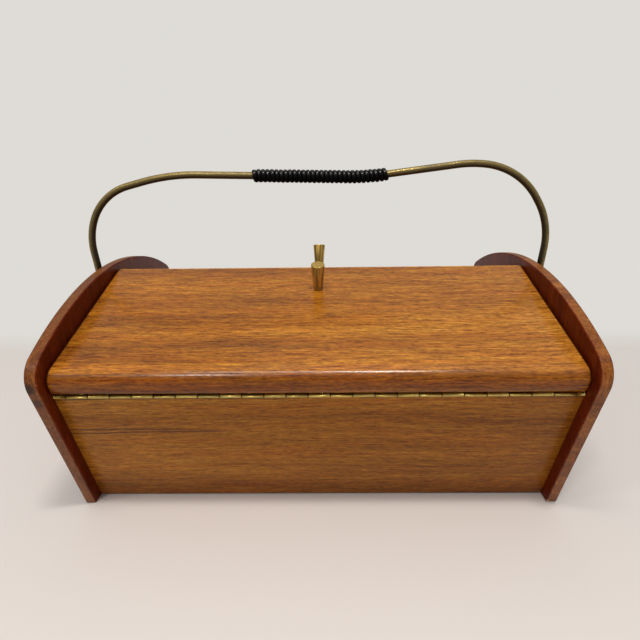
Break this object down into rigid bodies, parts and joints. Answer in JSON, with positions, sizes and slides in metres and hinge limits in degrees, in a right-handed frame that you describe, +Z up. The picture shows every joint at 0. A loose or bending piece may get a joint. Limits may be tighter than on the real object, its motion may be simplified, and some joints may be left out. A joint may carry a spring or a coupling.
{
  "type": "sewing box",
  "caption": "Teak sewing box with arched ends, leaning walls, two ridge-meeting lids on long hinges, a swing rod handle with a wound grip, and a sliding tray.",
  "frame": {"origin": "on the floor, under the middle of the box", "axes": "+X to the right along the box's length as seen from the front, +Y towards the back, +Z up"},
  "size_m": [0.4016, 0.2938, 0.2582],
  "materials": {
    "lid_teak": "satin oiled teak, golden brown, grain along the box",
    "wall_teak": "satin oiled teak, olive brown, grain along the box",
    "end_teak": "satin oiled teak, reddish brown, upright grain",
    "plywood": "plain plywood",
    "tray_wood": "plain pale hardwood",
    "strip_wood": "plain teak strip",
    "dowel_beech": "plain beech",
    "rod_brass": "aged brass rod",
    "knob_brass": "aged turned brass",
    "hinge_brass": "bright rolled brass",
    "screw_brass": "brass screws",
    "black_cord": "glossy black cord"
  },
  "bodies": {
    "box": {"left_end_panel": "end_teak", "right_end_panel": "end_teak", "front_wall": "wall_teak", "rear_wall": "wall_teak", "bottom_panel": "plywood", "wall_dowels": "dowel_beech", "front_runner": "strip_wood", "rear_runner": "strip_wood", "runner_screws": "screw_brass", "front_left_cleat": "strip_wood", "front_right_cleat": "strip_wood", "rear_left_cleat": "strip_wood", "rear_right_cleat": "strip_wood", "cleat_screws": "screw_brass", "front_hinge_wall_leaf": "hinge_brass", "rear_hinge_wall_leaf": "hinge_brass", "front_hinge_pin": "hinge_brass", "rear_hinge_pin": "hinge_brass", "front_hinge_wall_screws": "screw_brass", "rear_hinge_wall_screws": "screw_brass", "left_pivot_bolt": "rod_brass", "right_pivot_bolt": "rod_brass", "left_pivot_nut": "rod_brass", "right_pivot_nut": "rod_brass", "pivot_washers": "rod_brass"},
    "front_lid": {"front_lid": "lid_teak", "front_hinge_lid_leaf": "hinge_brass", "front_hinge_lid_screws": "screw_brass", "front_knob": "knob_brass", "front_knob_screw": "screw_brass"},
    "rear_lid": {"rear_lid": "lid_teak", "rear_hinge_lid_leaf": "hinge_brass", "rear_hinge_lid_screws": "screw_brass", "rear_knob": "knob_brass", "rear_knob_screw": "screw_brass"},
    "handle": {"handle_rod": "rod_brass", "grip_winding": "black_cord"},
    "tray": {"tray_floor": "plywood", "tray_front_side": "tray_wood", "tray_rear_side": "tray_wood", "tray_left_end": "tray_wood", "tray_right_end": "tray_wood", "tray_cross_divider": "tray_wood", "tray_front_divider": "tray_wood", "tray_rear_divider": "tray_wood"}
  },
  "joints": [
    {"name": "front_lid_hinge", "type": "hinge", "parent": "box", "child": "front_lid", "pos_m": [0, -0.13244, 0.1104], "axis": [1, 0, 0], "range_deg": [0, 157]},
    {"name": "rear_lid_hinge", "type": "hinge", "parent": "box", "child": "rear_lid", "pos_m": [0, 0.13244, 0.1104], "axis": [-1, 0, 0], "range_deg": [0, 157]},
    {"name": "handle_swing", "type": "hinge", "parent": "box", "child": "handle", "pos_m": [0, 0, 0.1144], "axis": [1, 0, 0], "range_deg": [-61, 61]},
    {"name": "tray_slide", "type": "slide", "parent": "box", "child": "tray", "axis": [1, 0, 0], "range_m": [0, 0.182]}
  ]
}
